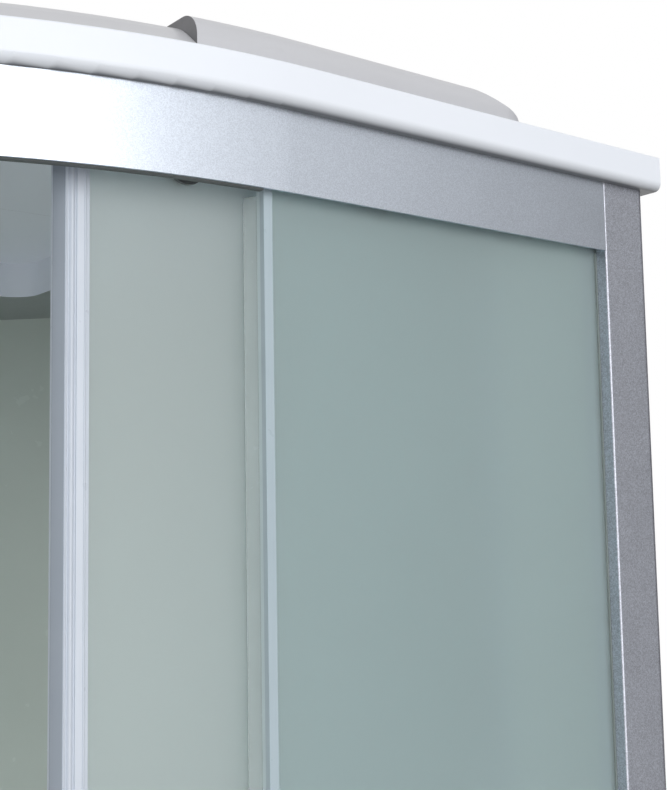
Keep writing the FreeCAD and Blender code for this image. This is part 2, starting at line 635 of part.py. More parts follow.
def shower_tray():
    """Moulded tray: rim with a turned-down flange, sloping basin and a hole for the waste."""
    body = body_at("tray")
    outer = f"{HALF} + {CENTRE}"
    under = "tray_height - flange_height"
    prism(body, "Pad", quadrant(outer, CENTRE, HALF), under, "tray_height")
    prism(body, "Pocket", quadrant(f"{outer} - tray_wall", CENTRE, f"{HALF} - tray_wall"), under,
          "tray_height - tray_wall")
    high, back = "rail_radius - basin_margin", f"{HALF} - basin_back"

    def basin(inset, corner):
        return quadrant(f"{high} - ({inset})", CENTRE, f"{back} - ({inset})", corner)

    loft(body, "Additive", basin("basin_slope - tray_wall", "basin_corner"), basin("0 - tray_wall", "basin_corner"),
         FRAME_TOP, "tray_height")
    loft(body, "Subtractive", basin("basin_slope", "basin_corner"), basin("0", "basin_corner"), BASIN_FLOOR,
         "tray_height")
    floor_edge = near_level(BASIN_FLOOR)
    round_edges(body, "basin_edge", floor_edge)
    disc(body, "Pocket", f"-{DRAIN}", DRAIN, "drain_hole", FRAME_TOP, BASIN_FLOOR)
    rim_edge = near_level("tray_height")
    round_edges(body, "rim_round", lambda edge: rim_edge(edge) and on_front(edge, outer, CENTRE))
    keep(body, "shower_tray")


def tray_apron():
    """Curved skirt under the tray's rim, with an inward lip at its foot, and the clips that hold it."""
    face = f"{HALF} - tray_wall - apron_gap"
    back = f"{face} - apron_wall"
    top = "tray_height - tray_wall - apron_tuck"
    foot = "apron_clear + apron_wall"
    lip = f"{face} - apron_lip"
    section = [(face, "apron_clear"), (face, top), (back, top), (back, foot), (lip, foot), (lip, "apron_clear")]
    keep(sweep("apron", section, face, f"{HALF} - apron_end"), "tray_apron")

    clips = []
    under = "tray_height - tray_wall"
    reach = f"{back} + {CENTRE} - clip_clear"
    half = "clip_width / 2"
    for number, share in enumerate(ARC_SHARES):
        clip = polar_body(f"apron_clip_{number}", f"90 * {share}")
        prism(clip, "Pad", rectangle(f"{reach} - clip_arm", reach, f"-{half}", half), f"{under} - clip_wall", under)
        prism(clip, "Pad", rectangle(f"{reach} - clip_wall", reach, f"-{half}", half), f"{under} - clip_leg", under)
        clips.append(clip)
    keep(group("apron_clip_group", clips), "apron_clips")


def base_frame():
    """Welded square-tube frame under the basin, on five adjustable feet."""
    bottom = f"{FRAME_TOP} - tube_size"
    back, front = f"({HALF} - frame_back)", f"(frame_front - {HALF})"

    def tube(name, x0, x1, y0, y1, along):
        skin = {axis: "0" if axis == along else "tube_wall" for axis in "xy"}
        whole = box(f"{name}_outside", x0, x1, y0, y1, bottom, FRAME_TOP)
        core = box(f"{name}_inside", f"{x0} + {skin['x']}", f"{x1} - {skin['x']}", f"{y0} + {skin['y']}",
                   f"{y1} - {skin['y']}", f"{bottom} + tube_wall", f"{FRAME_TOP} - tube_wall")
        return cut(name, whole, core)

    tubes = [tube("rear_left_tube", f"-{back}", f"-{back} + tube_size", f"-{front}", back, "y"),
             tube("front_right_tube", f"{front} - tube_size", front, f"-{front}", back, "y"),
             tube("front_left_tube", f"-{back} + tube_size", f"{front} - tube_size", f"-{front}",
                  f"-{front} + tube_size", "x"),
             tube("rear_right_tube", f"-{back} + tube_size", f"{front} - tube_size", f"{back} - tube_size", back,
                  "x")]
    nose = body_at("nose_tube", front, f"-{front}", bottom, "0 - 45")
    half = "tube_size / 2"
    prism(nose, "Pad", rectangle(f"-{half}", "nose_length", f"-{half}", half), "0", "tube_size")
    keep(fuse("frame_weldment", [*tubes, nose]), "tray_frame")

    middle = "tube_size / 2"
    tip = f"{front} + (nose_length - tube_size / 2) / sqrt(2)"
    places = [(f"-{back} + {middle}", f"{back} - {middle}"), (f"-{back} + {middle}", f"-{front} + {middle}"),
              (f"{front} - {middle}", f"{back} - {middle}"), (f"{front} - {middle}", f"-{front} + {middle}"),
              (tip, f"-({tip})")]
    feet, studs, nuts = [], [], []
    for number, (x, y) in enumerate(places):
        foot = body_at(f"foot_{number}", x, y)
        revolve(foot, [("0", "0"), ("foot_radius", "0"), ("foot_radius", "foot_edge"), ("foot_top", "foot_height"),
                       ("0", "foot_height")])
        feet.append(foot)
        studs.append(bar(f"stud_{number}", x, y, "foot_height", f"{bottom} - foot_height", "stud_radius"))
        for level in ("foot_height", f"{bottom} - nut_height"):
            nut = doc.addObject("Part::Prism", f"nut_{number}")
            nut.Polygon = 6
            tie(nut, "Circumradius", "nut_radius")
            tie(nut, "Height", "nut_height")
            for axis, text in zip("xyz", (x, y, level)):
                tie(nut, f"Placement.Base.{axis}", text)
            bore = bar(f"nut_bore_{number}", x, y, level, "nut_height", "stud_radius")
            nuts.append(cut(f"nut_drilled_{number}", nut, bore))
    keep(group("foot_group", feet), "foot_pads")
    keep(group("stud_group", studs), "foot_studs")
    keep(group("nut_group", nuts), "foot_nuts")


def waste_trap():
    """Grate on the tray's floor, rubber ring under it and the trap with its side outlet."""
    at = (f"-{DRAIN}", DRAIN)
    grate = body_at("grate", *at)
    neck_foot = f"{BASIN_FLOOR} - neck_drop"
    grate_top = f"{BASIN_FLOOR} + grate_height"
    neck_bore = "grate_neck - trap_wall"
    revolve(grate, [("0", BASIN_FLOOR), (neck_bore, BASIN_FLOOR), (neck_bore, neck_foot), ("grate_neck", neck_foot),
                    ("grate_neck", BASIN_FLOOR), ("grate_radius", BASIN_FLOOR),
                    ("grate_radius - grate_height / 2", grate_top), ("0", grate_top)])
    half = "slot_width / 2"
    slot = [("slot_start", f"-{half}"), ("slot_end", f"-{half}", ("slot_end", "0", 1)), ("slot_end", half),
            ("slot_start", half, ("slot_start", "0", 1))]
    opening = prism(grate, "Pocket", slot, BASIN_FLOOR, grate_top)
    ring = grate.newObject("PartDesign::PolarPattern", "grate_slots")
    ring.Originals = [opening]
    ring.Axis = (next(item for item in grate.Origin.OriginFeatures if item.Role == "Z_Axis"), [""])
    ring.Angle = 360
    ring.Occurrences = int(value("slot_count"))
    grate.Tip = ring
    keep(grate, "drain_grate")

    seat = f"{FRAME_TOP} - gasket_height"
    gasket = body_at("drain_gasket_body", *at)
    revolve(gasket, [("drain_hole", seat), ("grate_radius", seat), ("grate_radius", FRAME_TOP),
                     ("drain_hole", FRAME_TOP)])
    keep(gasket, "drain_gasket")

    trap = body_at("trap", *at)
    foot = f"{seat} - trap_drop"
    inside = "trap_radius - trap_wall"
    revolve(trap, [("0", foot), ("trap_radius", foot), ("trap_radius", f"{seat} - trap_flange"),
                   ("grate_radius", f"{seat} - trap_flange"), ("grate_radius", seat), (inside, seat),
                   (inside, f"{foot} + trap_wall"), ("0", f"{foot} + trap_wall")])
    axis = f"{foot} + outlet_rise"
    root = (f"-{DRAIN} - trap_radius + trap_wall", DRAIN, axis)
    spout = bar("outlet_outside", *root, "outlet_length + trap_wall", "outlet_radius", Vector(-1, 0, 0))
    shoulder = bar("outlet_step", *root, "outlet_shoulder + trap_wall", "outlet_collar", Vector(-1, 0, 0))
    bore = bar("outlet_inside", f"-{DRAIN} - {inside} + outlet_wall", DRAIN, axis,
               "outlet_length + trap_wall * 2", "outlet_radius - outlet_wall", Vector(-1, 0, 0))
    keep(cut("trap_bored", fuse("trap_with_outlet", [trap, spout, shoulder]), bore), "drain_trap")


def rear_walls():
    """Rear glass on each wall in its foot and head channels, and the column across the room's corner."""
    outer = f"{POST_BACK} - rear_groove_inset - (rear_groove - glass_thickness) / 2"
    inner = f"{outer} - glass_thickness"
    start = f"-({HALF} - column_reach) + fit_gap"
    inside = f"{FACE} - post_depth"
    foot, head = "tray_height + profile_wall + fit_gap", f"{RIM_BASE} - profile_wall - fit_gap"
    both_hands(box("wall_glass", start, f"{inside} + groove_depth - fit_gap", inner, outer, foot, head), "rear_glass")

    middle = f"({outer} + {inner}) / 2"
    high, low = f"{middle} + profile_width / 2", f"{middle} - profile_width / 2"
    for name, base, rise in (("rear_foot_channels", "tray_height", "1"), ("rear_head_channels", RIM_BASE, "(0 - 1)")):
        channel = body_at(f"{name}_body")
        web, tip = f"{base} + profile_wall * {rise}", f"{base} + profile_height * {rise}"
        section = [(low, base), (high, base), (high, tip), (f"{high} - profile_wall", tip),
                   (f"{high} - profile_wall", web), (f"{low} + profile_wall", web), (f"{low} + profile_wall", tip),
                   (low, tip)]
        prism(channel, "Pad", section, start, inside, "YZ_Plane")
        pair(channel, name)

    near, turned = f"{HALF} - column_reach", f"{HALF} - column_return"
    skew = "column_wall * (sqrt(2) - 1)"
    column = body_at("column")
    plan = [(f"-{HALF}", near), (f"-({turned})", near), (f"-({near})", turned), (f"-({near})", HALF),
            (f"-({near}) - column_wall", HALF), (f"-({near}) - column_wall", f"{turned} + {skew}"),
            (f"-({turned}) - {skew}", f"{near} + column_wall"), (f"-{HALF}", f"{near} + column_wall")]
    prism(column, "Pad", plan, "tray_height", RIM_BASE)
    hole = column_body("spindle_drill", "mixer_height")
    disc(hole, "Pad", "0", "0", "spindle_hole", "0 - column_wall * 2", "column_wall", "YZ_Plane")
    keep(cut("column_drilled", column, hole), "corner_column")

    shelf = column_body("shelf", "mixer_height + shelf_rise")
    prism(shelf, "Pad", [("0", "-shelf_radius", ("0", "0", 1)), ("0", "shelf_radius")], "0", "shelf_thickness")
    well = "shelf_radius - shelf_rim"
    wide = f"sqrt(({well}) ^ 2 - shelf_rim ^ 2)"
    prism(shelf, "Pocket", [("shelf_rim", f"-{wide}", ("0", "0", 1)), ("shelf_rim", wide)],
          "shelf_thickness - shelf_recess", "shelf_thickness")
    keep(shelf, "corner_shelf")


def mixer():
    """Concealed valve with its ports behind the column, wall rosette, turning cap and tilting lever."""
    def on_column(out, across):
        return (f"-{COLUMN_MID} + (({out}) + ({across})) / sqrt(2)",
                f"{COLUMN_MID} + (({across}) - ({out})) / sqrt(2)")

    back = "0 - column_wall"
    valve = column_body("valve", "mixer_height")
    revolve(valve, [(f"{back} - valve_length", "0"), (f"{back} - valve_length", "valve_radius"),
                    (f"{back} - plate_gap", "valve_radius"), (f"{back} - plate_gap", "spindle_radius"),
                    ("rosette_height", "spindle_radius"), ("rosette_height", "0")], "H_Axis")
    heart = f"{back} - valve_length / 2"
    half = "(port_spread + manifold_end)"
    pipes = [bar("manifold", *on_column(heart, f"-{half}"), "mixer_height", f"2 * {half}", "manifold_radius",
                 Vector(1, 1, 0)),
             bar("riser", *on_column(heart, "0"), "mixer_height", half, "riser_radius")]
    backward = Vector(-1, 1, 0)
    ports = (("cold", "port_spread", "0"), ("hot", "-port_spread", "0"), ("mixed", "0", "port_spread"))
    for name, across, rise in ports:
        level = f"mixer_height + {rise}"
        start, stop = on_column(heart, across), on_column(f"{heart} - collar_length", across)
        pipes.append(bar(f"{name}_collar", *start, level, "collar_length", "port_collar", backward))
        pipes.append(bar(f"{name}_port", *stop, level, "port_length", "port_radius", backward))
    keep(fuse("valve_whole", [valve, *pipes]), "mixer_valve")

    rosette = column_body("rosette", "mixer_height")
    bore = "spindle_radius + fit_gap"
    revolve(rosette, [("0", bore), ("0", "rosette_radius"), ("rosette_height - rosette_edge", "rosette_radius"),
                      ("rosette_height", "rosette_radius - rosette_edge"), ("rosette_height", bore)], "H_Axis")
    keep(rosette, "mixer_rosette")

    cap = column_body("cap", "mixer_height")
    base = "rosette_height + running_gap"
    front = f"{base} + cap_length"
    revolve(cap, [(base, "0"), (base, "cap_dome"), (f"{front} - cap_round", "cap_dome"),
                  (front, "cap_dome - cap_round"), (front, "0")], "H_Axis")
    pivot = f"{front} + hub_radius + running_gap"
    ear = "hub_half + running_gap"
    for low, high in ((ear, f"{ear} + ear_width"), (f"-({ear}) - ear_width", f"-({ear})")):
        prism(cap, "Pad", rectangle(f"{front} - ear_width", f"{front} + ear_reach", low, high), "0 - ear_half",
              "ear_half")
    pin = f"{ear} + ear_width"
    pin_sketch = circle_sketch(cap, "XZ_Plane", pivot, "0", "pin_radius", f"-({pin})")
    extrude(cap, "Pad", pin_sketch, f"2 * ({pin})")
    keep(cap, "mixer_cap")

    lever = column_body("lever", "mixer_height")
    hub_sketch = circle_sketch(lever, "XZ_Plane", pivot, "0", "hub_radius", "-hub_half")
    extrude(lever, "Pad", hub_sketch, "2 * hub_half")
    half = "lever_width / 2"
    blade = rectangle(f"{pivot} - lever_thickness / 2", f"{pivot} + lever_thickness / 2", f"-{half}", half)
    prism(lever, "Pad", blade, "0 - lever_length", "0")
    level = value("0 - lever_length")
    round_edges(lever, "lever_edge", lambda edge: all(abs(v.Z - level) < value("clip_gap") for v in edge.Vertexes))
    bore_sketch = circle_sketch(lever, "XZ_Plane", pivot, "0", "pin_radius + axle_play", "-hub_half")
    extrude(lever, "Pocket", bore_sketch, "2 * hub_half")
    keep(lever, "mixer_lever")


def ridge(inset, near, far):
    """The roof's raised band: it follows the rim behind the dome and ends square across the front."""
    reach = f"(roof_radius - ({inset}))"
    face = f"{reach} - {ROOF_CENTRE}"
    start = f"sqrt({reach} ^ 2 - ({ROOF_CENTRE} - ({near})) ^ 2) - {ROOF_CENTRE}"
    middle = (f"-{ROOF_CENTRE}", ROOF_CENTRE, 1)
    return [(start, near, middle), (face, ROOF_CENTRE), (face, far, "ridge_corner"),
            (f"-({far})", far, "ridge_corner"), (f"-({far})", f"-({face})", "ridge_corner"),
            (f"-{ROOF_CENTRE}", f"-({face})", middle), (f"-({near})", f"-({start})"), (f"-({near})", near)]


def roof():
    """Formed roof: rolled rim, low dome over the front and a raised band behind it, hollow underneath."""
    body = body_at("roof")
    top_plate = f"{PLATE} + roof_wall"
    dome_top = f"{RIM_TOP} + dome_rise"

    def plan(inset, back, corner=None):
        return quadrant(f"roof_radius - ({inset})", ROOF_CENTRE, back, corner)

    prism(body, "Pad", plan("0", HALF), RIM_BASE, RIM_TOP)
    prism(body, "Pocket", plan("rim_lip", f"{HALF} - rim_lip"), top_plate, RIM_TOP)
    low, high = near_level(RIM_BASE), near_level(RIM_TOP)
    round_edges(body, "rim_edge", lambda edge: low(edge) and on_front(edge, "roof_radius", ROOF_CENTRE))
    round_edges(body, "rim_top_edge", lambda edge: high(edge) and on_front(edge, "roof_radius", ROOF_CENTRE))
    foot = plan("dome_inset", DOME_BACK, DOME_CORNER)
    prism(body, "Pad", foot, PLATE, RIM_TOP)
    crest = plan("dome_inset + dome_lean", f"{DOME_BACK} - dome_lean", f"{DOME_CORNER} - dome_lean")
    loft(body, "Additive", foot, crest, RIM_TOP, dome_top)
    round_edges(body, "dome_edge", near_level(dome_top))
    prism(body, "Pad", ridge("ridge_inset", RIDGE_NEAR, RIDGE_FAR), PLATE, "total_height")
    crown = near_level("total_height")
    near = value(RIDGE_NEAR)

    def along_ridge(edge):
        ends = [(v.X + near, v.Y - near) for v in edge.Vertexes]
        return crown(edge) and not any(all(abs(end[axis]) < value("clip_gap") for end in ends) for axis in (0, 1))

    round_edges(body, "ridge_edge", along_ridge)
    fall = f"{RIDGE_FAR} - ridge_slope"
    for plane, hand in (("YZ_Plane", ""), ("XZ_Plane", "-")):
        wedge = [(f"{hand}({fall})", "total_height"), (f"{hand}{RIDGE_FAR}", "total_height"),
                 (f"{hand}{RIDGE_FAR}", RIM_TOP)]
        prism(body, "Pocket", wedge, f"-{RIDGE_FAR}", HALF, plane)
    prism(body, "Pocket", plan("rim_width", f"{HALF} - rim_width"), RIM_BASE, PLATE)
    prism(body, "Pocket", plan("dome_hollow", f"{DOME_BACK} - dome_hollow"), PLATE, f"{dome_top} - roof_wall")
    prism(body, "Pocket", ridge("ridge_hollow", f"{RIDGE_NEAR} + roof_wall", f"{fall} - roof_wall"), PLATE,
          "total_height - roof_wall")
    at = ("rose_offset", "-rose_offset")
    well = f"{dome_top} - well_depth"
    under = f"{well} - roof_wall"
    disc(body, "Pad", *at, "well_radius + roof_wall", under, f"{dome_top} - roof_wall")
    disc(body, "Pocket", *at, "well_radius", well, dome_top)
    disc(body, "Pocket", *at, "stem_collar + fit_gap", under, well)
    keep(body, "roof_shell")

    rose = body_at("rose", *at)
    plate = f"{under} - rose_drop"
    revolve(rose, [("0", f"{plate} - rose_height"), ("rose_radius - rose_edge", f"{plate} - rose_height"),
                   ("rose_radius", f"{plate} - rose_height + rose_edge"), ("rose_radius", f"{plate} - rose_edge"),
                   ("rose_neck", plate), ("rose_neck", under), ("stem_collar", under), ("stem_collar", well),
                   ("stem_radius", well), ("stem_radius", f"{well} + stem_top"), ("0", f"{well} + stem_top")])
    keep(rose, "overhead_rose")


def frame_screws():
    """Pan-head screws on each post's inner face, one into each rail."""
    inside = f"{FACE} - post_depth"
    across = f"{POST_FRONT} + post_width / 2 - rear_groove_inset"
    screws = [bar(f"screw_{number}", inside, across, level, "screw_height", "screw_radius", Vector(-1, 0, 0))
              for number, level in enumerate(("tray_height + screw_inset * 2", f"{RIM_BASE} - screw_inset * 2"))]
    pair(group("screw_group", screws), "frame_screws")


shower_tray()
tray_apron()
base_frame()
waste_trap()
rail("bottom_rail", "tray_height", False)
rail("top_rail", TOP_RAIL, True)
post()
fixed_side()
rear_walls()
mixer()
roof()
sliding_door()
door_bumpers()
frame_screws()
doc.recompute()

for item in doc.Objects:
    if {"Invalid", "Error"} & set(item.State):
        raise RuntimeError(f"{item.Label} failed: {item.State}")
for node in nodes:
    if node.Shape.isNull() or not node.Shape.isValid() or not node.Shape.Solids:
        raise RuntimeError(f"{node.Label} has no valid solid")
os.makedirs("parts", exist_ok=True)
for node in nodes:
    node.Shape.exportStep(f"parts/{node.Label}.step")
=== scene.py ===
"""Quadrant shower cabin, dressed: frosted glass, satin aluminium, white formed acrylic and ribbed seals."""
import json
import math

import bmesh
import bpy
from mathutils import Matrix, Vector


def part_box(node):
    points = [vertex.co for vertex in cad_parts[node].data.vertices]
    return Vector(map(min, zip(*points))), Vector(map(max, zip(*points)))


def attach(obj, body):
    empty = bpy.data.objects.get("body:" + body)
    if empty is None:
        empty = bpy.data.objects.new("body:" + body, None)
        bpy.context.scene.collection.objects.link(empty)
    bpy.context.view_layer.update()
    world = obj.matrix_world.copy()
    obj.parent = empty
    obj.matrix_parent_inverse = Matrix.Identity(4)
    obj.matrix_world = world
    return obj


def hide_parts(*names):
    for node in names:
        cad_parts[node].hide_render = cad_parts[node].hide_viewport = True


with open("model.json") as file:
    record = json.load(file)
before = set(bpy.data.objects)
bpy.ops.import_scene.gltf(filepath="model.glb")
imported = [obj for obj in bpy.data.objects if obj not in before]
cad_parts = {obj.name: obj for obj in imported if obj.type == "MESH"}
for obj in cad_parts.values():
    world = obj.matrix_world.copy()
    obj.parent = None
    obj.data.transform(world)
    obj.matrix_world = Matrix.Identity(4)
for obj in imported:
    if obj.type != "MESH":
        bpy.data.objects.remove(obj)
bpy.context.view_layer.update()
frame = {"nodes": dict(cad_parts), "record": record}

MM = 0.001
nodes = frame["nodes"]
record = frame["record"]
joints = {joint["name"]: joint for joint in record["behaviour"]["joints"]}

# Materials


def new_material(name):
    """An empty node material: its tree, its Principled shader and the object coordinates."""
    made = bpy.data.materials.new(name)
    made.use_nodes = True
    tree = made.node_tree
    shader = tree.nodes["Principled BSDF"]
    place = tree.nodes.new("ShaderNodeTexCoord").outputs["Object"]
    return made, tree, shader, place


def feed(tree, shader, socket, value):
    """Links what varies over the surface to one of the shader's sockets."""
    tree.links.new(value, shader.inputs[socket])


def noise(tree, place, scale, detail=2.0):
    """A noise texture's value over the surface."""
    node = tree.nodes.new("ShaderNodeTexNoise")
    node.inputs["Scale"].default_value = scale
    node.inputs["Detail"].default_value = detail
    tree.links.new(place, node.inputs["Vector"])
    return node.outputs["Fac"]


def cells(tree, place, scale):
    """A random value per small cell of the surface."""
    node = tree.nodes.new("ShaderNodeTexVoronoi")
    node.inputs["Scale"].default_value = scale
    tree.links.new(place, node.inputs["Vector"])
    split = tree.nodes.new("ShaderNodeSeparateColor")
    tree.links.new(node.outputs["Color"], split.inputs["Color"])
    return split.outputs["Red"]


def spread(tree, value, low, high, start=0.0, stop=1.0):
    """A value mapped from one range to another."""
    node = tree.nodes.new("ShaderNodeMapRange")
    limits = {"From Min": start, "From Max": stop, "To Min": low, "To Max": high}
    for socket, number in limits.items():
        node.inputs[socket].default_value = number
    tree.links.new(value, node.inputs["Value"])
    return node.outputs["Result"]


def ramp(tree, value, *stops):
    """A colour ramp of (place, colour) stops."""
    node = tree.nodes.new("ShaderNodeValToRGB")
    band = node.color_ramp
    while len(band.elements) < len(stops):
        band.elements.new(1.0)
    for element, (place, colour) in zip(band.elements, stops):
        element.position = place
        element.color = (*colour, 1.0)
    tree.links.new(value, node.inputs["Fac"])
    return node.outputs["Color"]


def math_node(tree, operation, *values):
    """One step of arithmetic on values that vary over the surface, and on numbers."""
    node = tree.nodes.new("ShaderNodeMath")
    node.operation = operation
    for socket, value in zip(node.inputs, values):
        if isinstance(value, float):
            socket.default_value = value
        else:
            tree.links.new(value, socket)
    return node.outputs[0]


def coordinates(tree, place):
    """The X, Y and Z outputs of a place on the surface."""
    split = tree.nodes.new("ShaderNodeSeparateXYZ")
    tree.links.new(place, split.inputs[0])
    return split.outputs


def bump(tree, shader, height, strength, depth):
    """Fine relief on the shader's normal."""
    node = tree.nodes.new("ShaderNodeBump")
    node.inputs["Strength"].default_value = strength
    node.inputs["Distance"].default_value = depth
    tree.links.new(height, node.inputs["Height"])
    tree.links.new(node.outputs["Normal"], shader.inputs["Normal"])


def blend(tree, share, first, second):
    """One colour where the share is nought, and another where it is one."""
    mix = tree.nodes.new("ShaderNodeMix")
    mix.data_type = "RGBA"
    sockets = [socket for socket in mix.inputs if socket.type == "RGBA"]
    tree.links.new(share, mix.inputs[0])
    tree.links.new(first, sockets[0])
    tree.links.new(second, sockets[1])
    return next(socket for socket in mix.outputs if socket.type == "RGBA")


def acrylic(name, light, dark, rough=(0.30, 0.42)):
    """Formed white sheet: faint cloudiness, orange peel and a soft gloss."""
    made, tree, shader, place = new_material(name)
    clouds = noise(tree, place, scale=3.0, detail=4.0)
    feed(tree, shader, "Base Color", ramp(tree, clouds, (0.35, dark), (0.65, light)))
    feed(tree, shader, "Roughness", spread(tree, noise(tree, place, scale=40.0, detail=3.0), *rough))
    bump(tree, shader, noise(tree, place, scale=450.0), strength=0.05, depth=0.4 * MM)
    return made


# The roof's levels: the rail joint, the top of the rim's painted shade, the ceiling plate, the rim's top
RIM_BASE = 2097.0 * MM
RIM_SHADE_TOP = RIM_BASE + 7.5 * MM
PLATE = 2105.0 * MM
RIM_TOP = 2123.7 * MM
# How far from the middle planes the raised band's cut ends lie, and how closely a plane is told
BAND_END = 40.75 * MM
EXACT = 0.1 * MM
# Tones of the painted shade on the rim's lower edge, darkest at its joint with the rail
JOINT_SHADE_TONES = [(0.0, (0.08, 0.083, 0.088)), (0.03, (0.16, 0.167, 0.177)), (0.06, (0.24, 0.25, 0.265)),
               (0.1, (0.335, 0.35, 0.37)), (0.16, (0.44, 0.458, 0.486)), (0.27, (0.55, 0.573, 0.608)),
               (0.5, (0.67, 0.70, 0.745)), (0.75, (0.77, 0.805, 0.862)), (1.0, (0.84, 0.875, 0.94))]
# Tones of the painted shade on the forms on top of the roof
TOP_SHADE_TONES = [(0.3, (0.53, 0.535, 0.56)), (0.7, (0.57, 0.575, 0.605))]
# Tones of the painted shade on the ledge under the rim
LEDGE_SHADE_TONES = [(0.3, (0.26, 0.285, 0.28)), (0.7, (0.30, 0.325, 0.32))]
# Tones of the painted shade on the raised band's cut ends
END_SHADE_TONES = [(0.3, (0.10, 0.10, 0.105)), (0.7, (0.15, 0.15, 0.16))]


def roof_acrylic(name, light, dark):
    """The roof, with painted shade on the rim by the rail, the ledge under it, the forms on top and the
    band's ends.
    """
    made = acrylic(name, light, dark)
    tree = made.node_tree
    shader = tree.nodes["Principled BSDF"]
    place = tree.nodes["Texture Coordinate"].outputs["Object"]
    x, y, z = coordinates(tree, place)
    facing = tree.nodes.new("ShaderNodeVectorMath")
    facing.operation = "DOT_PRODUCT"
    geometry = tree.nodes.new("ShaderNodeNewGeometry")
    tree.links.new(geometry.outputs["True Normal"], facing.inputs[0])
    tree.links.new(place, facing.inputs[1])
    outside = math_node(tree, "GREATER_THAN", facing.outputs["Value"], 0.0)
    gloss = shader.inputs["Base Color"].links[0].from_socket
    clouds = noise(tree, place, scale=5.0, detail=4.0)
    # Painted shade: the rim darkens towards its joint with the rail
    joint = ramp(tree, spread(tree, z, 0.0, 1.0, RIM_BASE, RIM_SHADE_TOP), *JOINT_SHADE_TONES)
    rim = blend(tree, math_node(tree, "LESS_THAN", z, RIM_SHADE_TOP), gloss, joint)
    # Painted shade: the inward faces at the ceiling plate's level, the ledge under the rim, are dark
    # grey-green
    level = math_node(tree, "COMPARE", z, PLATE, EXACT)
    under = math_node(tree, "MULTIPLY", level, math_node(tree, "SUBTRACT", 1.0, outside))
    lower = blend(tree, under, rim, ramp(tree, clouds, *LEDGE_SHADE_TONES))
    # Painted shade: the outer faces above the rim's top, the dome and the raised band, are grey
    high = math_node(tree, "GREATER_THAN", z, RIM_TOP)
    top = math_node(tree, "MULTIPLY", high, outside)
    formed = blend(tree, top, lower, ramp(tree, clouds, *TOP_SHADE_TONES))
    # Painted shade: the raised band's cut ends are near black
    right_end = math_node(tree, "COMPARE", y, BAND_END, EXACT)
    left_end = math_node(tree, "COMPARE", x, -BAND_END, EXACT)
    ends = math_node(tree, "MAXIMUM", right_end, left_end)
    cut = math_node(tree, "MULTIPLY", ends, high)
    end_shade = ramp(tree, noise(tree, place, scale=60.0, detail=4.0), *END_SHADE_TONES)
    feed(tree, shader, "Base Color", blend(tree, cut, formed, end_shade))
    return made


def satin_metal(name, light, dark, grain, rough, relief=0.12):
    """Blasted and anodised aluminium: each small grain catches the light on its own."""
    made, tree, shader, place = new_material(name)
    shader.inputs["Metallic"].default_value = 1.0
    sparkle = cells(tree, place, grain)
    feed(tree, shader, "Base Color", ramp(tree, sparkle, (0.0, dark), (1.0, light)))
    feed(tree, shader, "Roughness", spread(tree, noise(tree, place, scale=60.0, detail=3.0), *rough))
    bump(tree, shader, sparkle, relief, depth=0.3 * MM)
    return made


def frosted(name, light, dark, see_through, rough, vary=0.04):
    """Satin-frosted glass: fine grain, faint clouds and a milky body."""
    made, tree, shader, place = new_material(name)
    clouds = noise(tree, place, scale=2.2, detail=3.0)
    feed(tree, shader, "Base Color", ramp(tree, clouds, (0.3, dark), (0.7, light)))
    etch = noise(tree, place, scale=700.0)
    feed(tree, shader, "Roughness", spread(tree, etch, rough - vary, rough + vary))
    shader.inputs["Transmission Weight"].default_value = see_through
    shader.inputs["IOR"].default_value = 1.45
    bump(tree, shader, noise(tree, place, scale=1200.0), strength=0.12, depth=0.2 * MM)
    return made


def plastic(name, light, dark, rough, relief=0.1, cover=1.0, vary=0.06):
    """Moulded or extruded plastic and rubber; cover is how much a clear one hides what is behind it."""
    made, tree, shader, place = new_material(name)
    clouds = noise(tree, place, scale=25.0, detail=4.0)
    feed(tree, shader, "Base Color", ramp(tree, clouds, (0.3, dark), (0.7, light)))
    patches = noise(tree, place, scale=120.0)
    feed(tree, shader, "Roughness", spread(tree, patches, rough - vary, rough + vary))
    shader.inputs["Alpha"].default_value = cover
    bump(tree, shader, noise(tree, place, scale=300.0), relief, depth=0.4 * MM)
    return made


def metal(name, light, dark, rough, streak=(1.0, 1.0, 1.0), relief=0.02, vary=0.3):
    """Polished or drawn metal, with marks stretched along the way it was worked."""
    made, tree, shader, place = new_material(name)
    shader.inputs["Metallic"].default_value = 1.0
    stretch = tree.nodes.new("ShaderNodeMapping")
    stretch.inputs["Scale"].default_value = streak
    tree.links.new(place, stretch.inputs["Vector"])
    worked = noise(tree, stretch.outputs["Vector"], scale=90.0, detail=5.0)
    feed(tree, shader, "Base Color", ramp(tree, worked, (0.3, dark), (0.7, light)))
    dull = spread(tree, worked, rough * (1 - vary), rough * (1 + vary), 0.3, 0.7)
    feed(tree, shader, "Roughness", dull)
    bump(tree, shader, worked, relief, depth=0.3 * MM)
    return made


